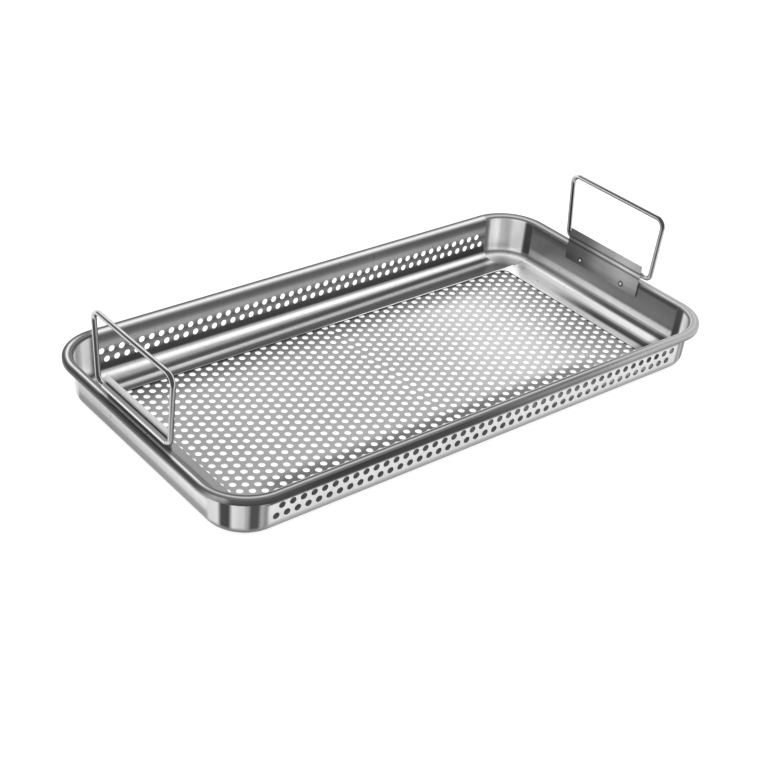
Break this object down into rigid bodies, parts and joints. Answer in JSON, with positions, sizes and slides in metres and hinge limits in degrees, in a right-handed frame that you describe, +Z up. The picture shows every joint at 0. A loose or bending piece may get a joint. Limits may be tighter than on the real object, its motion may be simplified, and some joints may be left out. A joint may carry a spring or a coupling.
{
  "type": "perforated sterilization tray",
  "caption": "Shallow rectangular stainless steel sterilization tray with a turned-down rim, a perforated floor and long walls, and an upright drop handle hinged at each end.",
  "frame": {"origin": "middle of the underside, where the tray stands", "axes": "+X along the length towards the right handle, +Y towards the back long wall, +Z up"},
  "size_m": [0.482, 0.255, 0.1033],
  "materials": {
    "frame_steel": "electropolished stainless steel",
    "floor_steel": "satin stainless steel",
    "bracket_steel": "polished stainless steel",
    "handle_steel": "bright polished stainless steel wire"
  },
  "bodies": {
    "tray": {"tray_frame": "frame_steel", "perforated_floor": "floor_steel", "handle_bracket_left": "bracket_steel", "handle_bracket_right": "bracket_steel"},
    "left_handle": {"drop_handle_left": "handle_steel"},
    "right_handle": {"drop_handle_right": "handle_steel"}
  },
  "joints": [
    {"name": "left_handle_hinge", "type": "hinge", "parent": "tray", "child": "left_handle", "pos_m": [-0.2354, 0, 0.0442], "axis": [0, -1, 0], "range_deg": [-130, 125]},
    {"name": "right_handle_hinge", "type": "hinge", "parent": "tray", "child": "right_handle", "pos_m": [0.2354, 0, 0.0442], "axis": [0, 1, 0], "range_deg": [-130, 125]}
  ]
}
